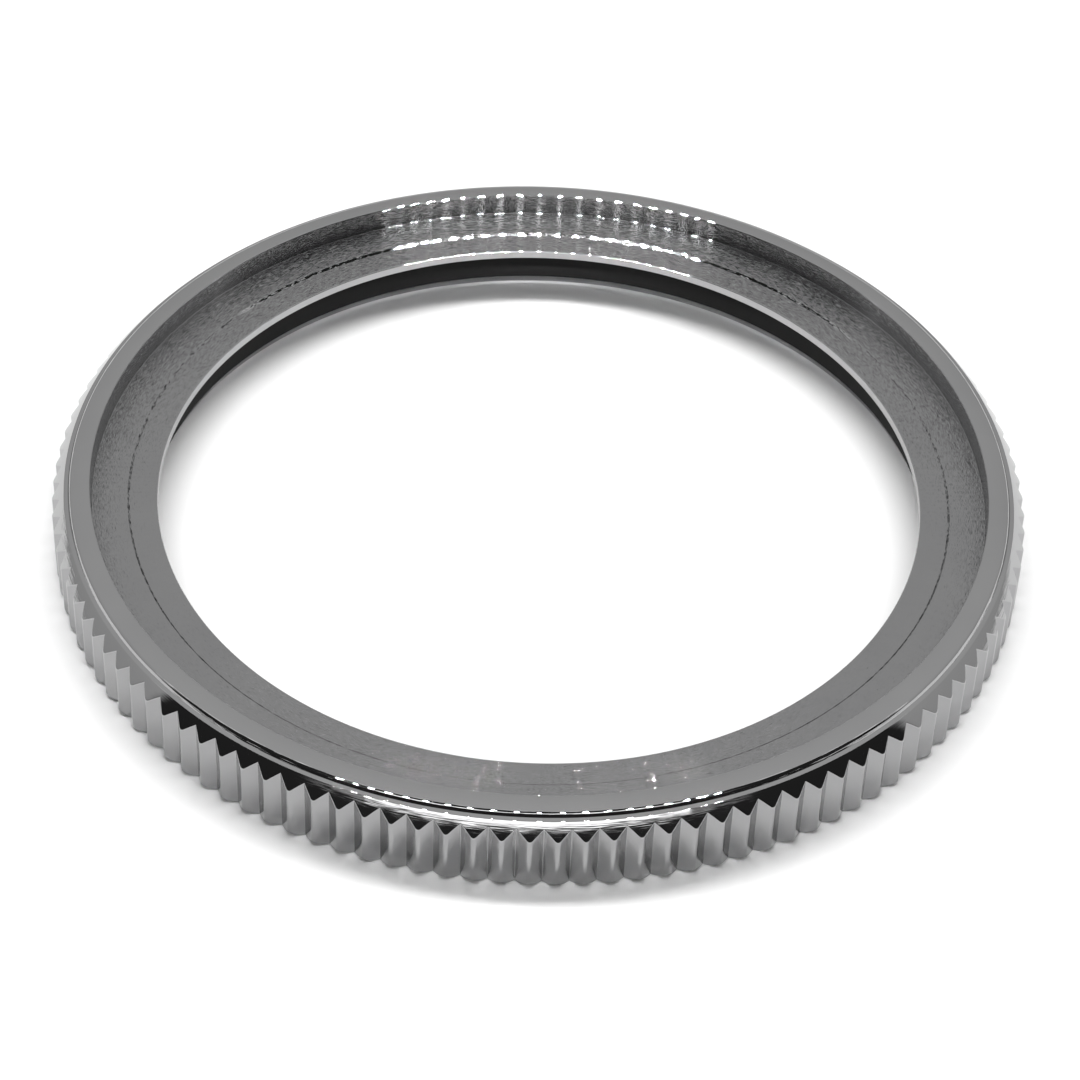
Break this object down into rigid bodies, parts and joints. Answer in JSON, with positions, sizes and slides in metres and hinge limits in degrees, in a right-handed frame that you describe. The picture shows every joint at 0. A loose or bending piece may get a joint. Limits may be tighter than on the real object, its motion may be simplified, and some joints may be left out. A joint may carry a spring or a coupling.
{
  "type": "rotating watch bezel",
  "caption": "Round steel watch bezel ring with a coin edge, an empty recess for an insert and a black retaining gasket on which it turns.",
  "frame": {"origin": "centre of the ring, on its underside", "axes": "+Z is the axis of rotation and points out of the watch, through the recess for the insert; a crest of the coin edge lies on +X"},
  "size_m": [0.0414, 0.0414, 0.0035],
  "materials": {
    "steel": "polished stainless steel with fine turned marks on the recess floor",
    "gasket": "matt black"
  },
  "bodies": {
    "gasket": {"retaining_gasket": "gasket"},
    "bezel": {"bezel_ring": "steel"}
  },
  "joints": [
    {"name": "bezel_turn", "type": "hinge", "parent": "gasket", "child": "bezel", "pos_m": [0, 0, 0], "axis": [0, 0, 1], "continuous": true}
  ]
}
